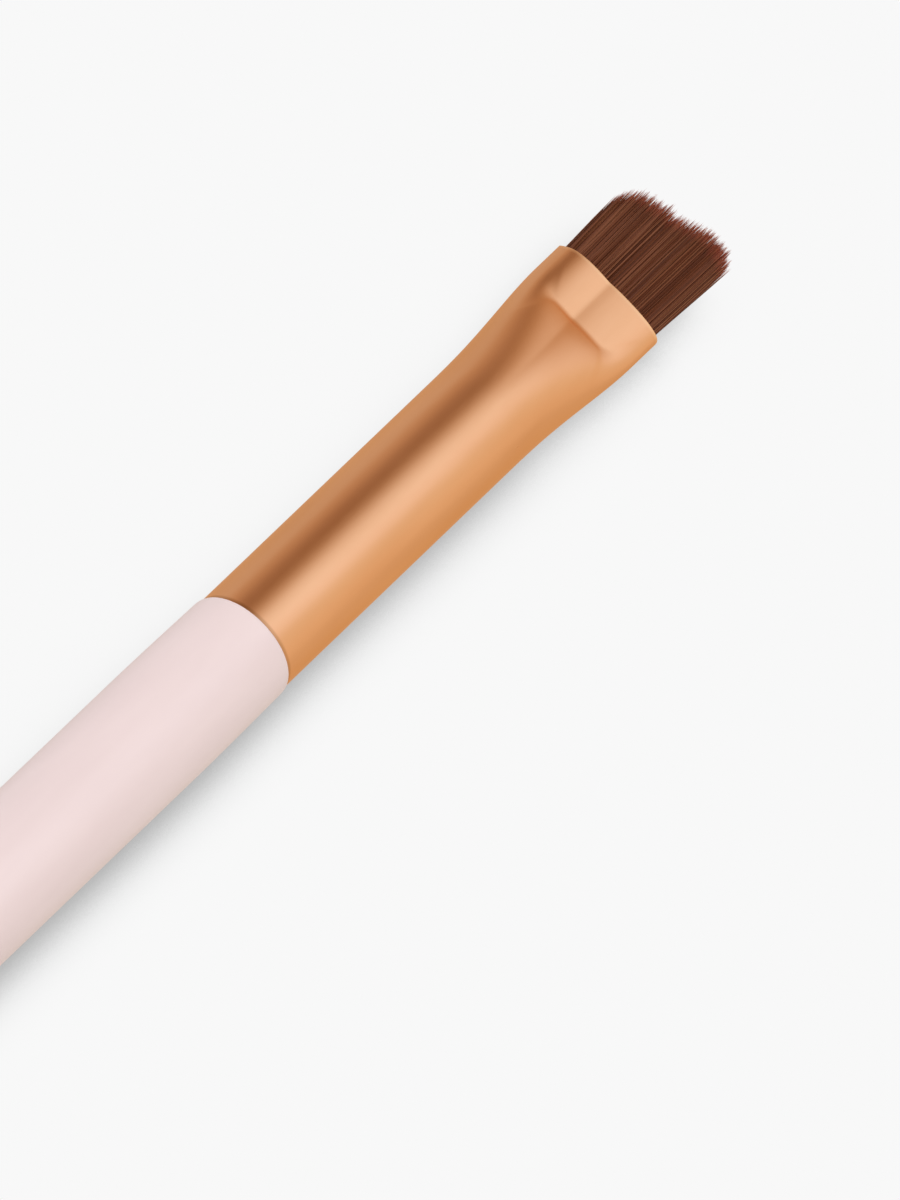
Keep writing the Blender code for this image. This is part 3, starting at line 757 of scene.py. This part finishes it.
def make_tuft(material):
    """Every fibre runs from the tied root through the flattened ferrule to its own tip."""
    chance = random.Random(FIBRE_SEED)
    built = Builder()
    places = fibre_places(chance)
    tip_half = TUFT_LEFT * (1 + TUFT_FLARE)
    clumps = []
    for i in range(round(2 * tip_half / CLUMP_PITCH) + 1):
        for level in CLUMP_LEVELS:
            y = -tip_half + CLUMP_PITCH * (i + chance.uniform(-CLUMP_JITTER, CLUMP_JITTER))
            clumps.append((y, level, chance.gauss(0, CLUMP_RAGGED), chance.random()))
    edge = [place for place in places if place[0] < TUFT_RIGHT + STRAY_BAND]
    strays = chance.sample(edge, STRAYS)
    for y, z in places:
        tip_y = y * (1 + TUFT_FLARE) + chance.gauss(0, FIBRE_WANDER) * FIBRE_RADIUS
        tip_z = z * TUFT_TIP_THICKNESS + chance.gauss(0, FIBRE_WANDER) * FIBRE_RADIUS
        clump = min(clumps, key=lambda c: math.hypot(c[0] - tip_y, c[1] - tip_z))
        aside = min(abs(clump[0] - tip_y) / CLUMP_PITCH * 2, 1.0)
        reach = outline_reach(y) + clump[2] - CLUMP_POINT * aside**2
        reach -= abs(chance.gauss(FIBRE_SHORT, FIBRE_RAGGED))
        stray = 0.0
        if (y, z) in strays:
            stray = chance.uniform(*STRAY_OUT)
            reach = STRAY_LENGTH - chance.uniform(0, FIBRE_RAGGED)
        reach = min(reach, TUFT_END_X - MOUTH_X)
        tint = mix(chance.random(), clump[3], CLUMP_TINT_SHARE)
        bow = chance.gauss(0, FIBRE_BOW)
        root_y, root_z = root_place(y, z)
        tied_x = ROOT_TIED_LENGTH - ROOT_LENGTH
        path = [
            (-ROOT_LENGTH, root_y, root_z),
            (tied_x, root_y, root_z),
            (mix(tied_x, -PAD_LENGTH, 0.5), (root_y + y) / 2, (root_z + z) / 2),
            (-PAD_LENGTH, y, z),
        ]
        shares = [0.0] * len(path)
        for share in FIBRE_STATION_SHARES + (1.0,):
            pull = CLUMP_PULL * smoothstep((share - CLUMP_START_SHARE) / (1 - CLUMP_START_SHARE))
            side = mix(mix(y, tip_y, share), clump[0], pull) + bow * math.sin(math.pi * share)
            side = max(side - stray * share, -MOUTH_HALF_WIDTH + FIBRE_RADIUS)
            level = mix(mix(z, tip_z, share), clump[1], pull)
            path.append((share * reach, side, level))
            shares.append(share)
        path = [(MOUTH_X + x, side, AXIS_HEIGHT + level) for x, side, level in path]
        tip_x = path[-1][0]
        tapers = [clamp((tip_x - point[0]) / FIBRE_TAPER) for point in path[:-1]]
        radii = [FIBRE_RADIUS * taper**FIBRE_TAPER_POWER for taper in tapers]
        fibre(built, path, radii, tint, shares)
    built.piece("brow_hairs", material, "brown_fibre", "brow_tuft", "brow_root_bundle")


# Spoolie end
def necked_radius(x):
    share = smoothstep((x - NOSE_LENGTH) / NECKING_LENGTH)
    return mix(NOSE_RADIUS, FERRULE_RADIUS, share)


def make_spoolie_ferrule(material):
    end = SPOOLIE_FERRULE_LENGTH
    profile = [(LIP_ROUNDING * run, NOSE_RADIUS - LIP_ROUNDING * (1 - rise)) for rise, run in quarter()]
    necked_x = NOSE_LENGTH + NECKING_LENGTH
    necking = spaced(NOSE_LENGTH, necked_x, NECKING_STEPS)
    profile += [(x, necked_radius(x)) for x in necking]
    straight = spaced(necked_x, end - 2 * RIM_ROUNDING, SPOOLIE_TUBE_STEPS)
    profile += [(x, FERRULE_RADIUS) for x in straight]
    rim = [(end - RIM_ROUNDING * run, FERRULE_RADIUS - RIM_ROUNDING * (1 - rise)) for rise, run in quarter()]
    profile += rim[::-1]
    profile += [(end, FERRULE_RADIUS - FERRULE_WALL)]
    profile += [(x, necked_radius(x) - FERRULE_WALL) for x in necking[::-1]]
    profile += [(0, NOSE_RADIUS - FERRULE_WALL)]
    built = turned([(NOSE_X + x, radius) for x, radius in profile], closed=True)
    built.piece("spoolie_ferrule_drawn", material, "copper_anodised", "spoolie_ferrule")


def twist(x):
    return math.tau * x / WIRE_PITCH


def wire_point(x, side, offset):
    angle = twist(x) + math.pi / 2 * side
    return Vector((x, offset * math.cos(angle), offset * math.sin(angle)))


def sweep(built, path, radius, sides):
    """A round bar through the points of path, closed at both ends."""
    tangent = (path[1] - path[0]).normalized()
    side = tangent.orthogonal().normalized()
    rings = []
    for i, point in enumerate(path):
        ahead = path[min(i + 1, len(path) - 1)] - path[max(i - 1, 0)]
        turn = tangent.rotation_difference(ahead.normalized())
        side.rotate(turn)
        tangent = ahead.normalized()
        side = (side - tangent * side.dot(tangent)).normalized()
        other = tangent.cross(side)
        turns = [math.tau * k / sides for k in range(sides)]
        ring = [point + radius * (side * math.cos(t) + other * math.sin(t)) for t in turns]
        rings.append(built.loop([tuple(p) for p in ring]))
    for near, far in zip(rings, rings[1:]):
        built.bridge(near, far)
    built.faces.append(tuple(rings[0])[::-1])
    built.faces.append(tuple(rings[-1]))


def make_wire(material):
    start = WIRE_NECK + WIRE_INSERT
    length = start + SPOOLIE_LENGTH
    steps = round(length / WIRE_PITCH * WIRE_POINTS_PER_TURN)
    stations = [start - length * i / steps for i in range(steps + 1)]
    out = [wire_point(x, 1, WIRE_OFFSET) for x in stations]
    back = [wire_point(x, -1, WIRE_OFFSET) for x in stations[::-1]]
    tip = out[-1]
    bend = []
    for i in range(1, WIRE_BEND_STEPS):
        turn = math.pi * i / WIRE_BEND_STEPS
        across = math.cos(turn)
        bend.append(Vector((tip.x - WIRE_OFFSET * math.sin(turn), tip.y * across, tip.z * across)))
    middle = Vector((NOSE_X - WIRE_NECK, 0, AXIS_HEIGHT))
    built = Builder()
    sweep(built, [middle + point for point in out + bend + back], WIRE_RADIUS, WIRE_SIDES)
    built.piece("spoolie_twisted_wire", material, "steel_wire", "spoolie_wire")


def spoolie_radius(along):
    radius = mix(SPOOLIE_RADIUS, SPOOLIE_TIP_RADIUS, along / SPOOLIE_LENGTH)
    from_end = min(along, SPOOLIE_LENGTH - along)
    short = max(1 - from_end / SPOOLIE_END_ROUNDING, 0.0)
    return radius - (radius - STEM_RADIUS) / 2 * short**2


def filament_path(along, chance):
    """From one tip through the wire to the other, at a distance along the brush from the first filament."""
    ends = []
    for _ in range(2):
        turn = twist(-along) + math.radians(chance.gauss(0, FILAMENT_TURN))
        reach = spoolie_radius(along) * (1 - abs(chance.gauss(0, FILAMENT_SHORT)))
        ends.append((turn, min(reach, SPOOLIE_RADIUS), chance.gauss(0, FILAMENT_LEAN)))
    start_x = NOSE_X - WIRE_NECK
    path = []
    for share in FILAMENT_STATION_SHARES:
        turn, reach, lean = ends[share > 0]
        far = reach * share
        x = clamp((along - lean * share * share) / SPOOLIE_LENGTH) * SPOOLIE_LENGTH
        path.append(Vector((start_x - x, far * math.cos(turn), AXIS_HEIGHT + far * math.sin(turn))))
    return path


def make_filaments(material):
    """Straight filaments, each pinched at its middle between the two legs of the wire."""
    chance = random.Random(FILAMENT_SEED)
    built = Builder()
    for i in range(FILAMENTS):
        along = SPOOLIE_LENGTH * clamp((i + chance.uniform(*FILAMENT_JITTER)) / FILAMENTS)
        tint = chance.random()
        path = filament_path(along, chance)
        turns = [math.tau * (tint + j / FILAMENT_SIDES) for j in range(FILAMENT_SIDES)]
        rings = []
        for k, point in enumerate(path):
            ahead = (path[min(k + 1, len(path) - 1)] - path[max(k - 1, 0)]).normalized()
            side = ahead.cross(Vector((1, 0, 0))).normalized() * FILAMENT_RADIUS
            other = ahead.cross(side)
            ring = [tuple(point + side * math.cos(t) + other * math.sin(t)) for t in turns]
            rings.append(built.loop(ring, tint, abs(FILAMENT_STATION_SHARES[k])))
        for near, far in zip(rings, rings[1:]):
            built.bridge(near, far)
        built.faces.append(tuple(rings[0])[::-1])
        built.faces.append(tuple(rings[-1]))
    built.piece("spoolie_bristles", material, "brown_filament", "spoolie_filaments")


# Stage, light and camera
def make_floor():
    """A white sheet. The camera sees its own even white, less a soft shade beside the brush."""
    corners = [(-FLOOR_HALF, -FLOOR_HALF, 0), (FLOOR_HALF, -FLOOR_HALF, 0)]
    corners += [(FLOOR_HALF, FLOOR_HALF, 0), (-FLOOR_HALF, FLOOR_HALF, 0)]
    mesh = bpy.data.meshes.new("floor")
    mesh.from_pydata(corners, [], [(0, 1, 2, 3)])
    material, tree, principled = shader("floor_paper", Roughness=1.0, Specular_IOR_Level=0.0)
    paper = mottle(tree, noise(tree, PAPER_MOTTLE), PAPER_COLOURS)
    link(tree, paper, principled.inputs["Base Color"])
    skyward = {"Y": math.sin(SHADE_TILT), "Z": math.cos(SHADE_TILT)}
    toward = value_node(tree, "ShaderNodeCombineXYZ", skyward).outputs["Vector"]
    inputs = {"Distance": SHADE_REACH, "Normal": toward}
    open_sky = value_node(tree, "ShaderNodeAmbientOcclusion", inputs, samples=SHADE_SAMPLES).outputs["AO"]
    x, y, _ = axes(tree, "Object")
    along = remap(tree, x, 0.0, 1.0, MOUTH_X + SHADE_FAR, MOUTH_X + SHADE_NEAR)
    gain = ramp(tree, along, greys(SHADE_GAINS))
    deeper = calculate(tree, "MULTIPLY", calculate(tree, "SUBTRACT", 1.0, open_sky), gain)
    shade = ramp(tree, calculate(tree, "SUBTRACT", 1.0, deeper), greys(SHADE_STOPS))
    glow = value_node(tree, "ShaderNodeEmission", {"Color": shade, "Strength": 1.0})
    sides = remap(tree, y, 0.0, 1.0, -MIRRORED_REACH, MIRRORED_REACH)
    reflected = ramp(tree, sides, MIRRORED_STOPS)
    mirrored = value_node(tree, "ShaderNodeEmission", {"Color": reflected, "Strength": 1.0})
    rays = value_node(tree, "ShaderNodeLightPath").outputs
    glossy = value_node(tree, "ShaderNodeMixShader", {"Fac": rays["Is Glossy Ray"]})
    link(tree, principled.outputs["BSDF"], glossy.inputs[1])
    link(tree, mirrored.outputs["Emission"], glossy.inputs[2])
    both = value_node(tree, "ShaderNodeMixShader", {"Fac": rays["Is Camera Ray"]})
    link(tree, glossy.outputs["Shader"], both.inputs[1])
    link(tree, glow.outputs["Emission"], both.inputs[2])
    link(tree, both.outputs["Shader"], tree.nodes["Material Output"].inputs["Surface"])
    mesh.materials.append(material)
    floor = bpy.data.objects.new("floor", mesh)
    bpy.context.scene.collection.objects.link(floor)


def make_world():
    """An even sky for what is matt, and a studio for what shines: its colours go round the brush's axis."""
    world = bpy.data.worlds.new("studio")
    world.use_nodes = True
    bpy.context.scene.world = world
    tree = world.node_tree
    x, y, z = axes(tree, "Generated")
    aside = calculate(tree, "MULTIPLY", y, -1.0)
    round_axis = remap(tree, calculate(tree, "ARCTAN2", aside, z), 0.0, 1.0, -math.pi, math.pi)
    sky = ramp(tree, round_axis, [(degrees / 360 + 0.5, colour) for degrees, colour in SKY_STOPS], "EASE")
    ahead = calculate(tree, "MULTIPLY_ADD", calculate(tree, "MAXIMUM", aside, 0.0), SKY_END_SKEW, x)
    studio = blended(tree, ramp(tree, ahead, greys(SKY_END_STOPS)), sky, (*SKY_END, 1.0))
    tints = enumerate((AMBIENT_COOL, AMBIENT_WARM))
    even_stops = [(place, tuple(AMBIENT * c for c in tint)) for place, tint in tints]
    even = ramp(tree, remap(tree, aside, 0.0, 1.0, -1.0, 1.0), even_stops)
    rays = value_node(tree, "ShaderNodeLightPath").outputs
    lit = blended(tree, rays["Is Glossy Ray"], even, studio)
    seen = blended(tree, rays["Is Camera Ray"], lit, (BACKGROUND, BACKGROUND, BACKGROUND, 1.0))
    link(tree, seen, tree.nodes["Background"].inputs["Color"])


def make_key():
    """A broad soft lamp overhead, a little to the brush's +Y side, which is the picture's upper left."""
    toward = Vector((0, math.sin(KEY_TILT), math.cos(KEY_TILT)))
    lamp = bpy.data.lights.new("key", "AREA")
    lamp.shape = "DISK"
    lamp.size = KEY_SIZE
    lamp.energy = KEY_LEVEL * math.pi**2 * KEY_DISTANCE**2 / toward.z
    made = bpy.data.objects.new("key", lamp)
    made.location = VIEW_CENTRE + toward * KEY_DISTANCE
    made.rotation_euler = toward.to_track_quat("Z", "Y").to_euler()
    made.visible_camera = False
    made.visible_glossy = False
    bpy.context.scene.collection.objects.link(made)


def make_camera():
    toward = Vector((LOOK_ALONG, 0, -math.sqrt(1 - LOOK_ALONG**2)))
    along = (Vector((1, 0, 0)) - toward * toward.x).normalized()
    lower = Vector((0, -1, 0))
    right = along * math.cos(ROLL) + lower * math.sin(ROLL)
    up = along * math.sin(ROLL) - lower * math.cos(ROLL)
    data = bpy.data.cameras.new("camera")
    data.sensor_width = SENSOR
    data.lens = LENS
    data.clip_start, data.clip_end = NEAR, FAR
    distance = VIEW_HEIGHT * LENS / SENSOR
    camera = bpy.data.objects.new("camera", data)
    camera.matrix_world = Matrix((right, up, -toward)).transposed().to_4x4()
    camera.location = VIEW_CENTRE - toward * distance
    bpy.context.scene.collection.objects.link(camera)
    bpy.context.scene.camera = camera


def main():
    copper_seen = copper()
    make_camera()
    make_handle(lacquer())
    make_brow_ferrule(copper_seen)
    make_spoolie_ferrule(copper_seen)
    make_tuft(fibres("brow_fibre_seen", BROWN_STOPS, RED_STOPS, roughness=0.42))
    make_filaments(fibres("spoolie_fibre_seen", DARK_STOPS, DARK_STOPS, roughness=0.3))
    steel = mottled("drawn_steel", STEEL_COLOURS, feature=0.2 * MM, roughness=(0.22, 0.34), Metallic=1.0)
    make_wire(steel)
    make_floor()
    make_world()
    make_key()
    bpy.context.scene.view_settings.view_transform = "Standard"


def dress_hidden_solids():
    """Materials for the solids inside the brush, which the scene carries over."""
    epoxy = mottled("epoxy_seen", EPOXY_COLOURS, feature=0.8 * MM, roughness=(0.12, 0.22), Coat_Weight=0.3)
    thread = mottled("thread_seen", THREAD_COLOURS, feature=0.12 * MM, roughness=(0.8, 0.95))
    holder = mottled("holder_seen", HOLDER_COLOURS, feature=0.6 * MM, roughness=(0.35, 0.5))
    hidden = {"cast_epoxy": epoxy, "cotton_thread": thread, "holder_plastic": holder}
    slots = {entry["node"]: entry["material_slot"] for entry in frame["record"]["subparts"]}
    for name, node in frame["nodes"].items():
        if slots[name] in hidden:
            node.data.materials.clear()
            node.data.materials.append(hidden[slots[name]])


main()
dress_hidden_solids()
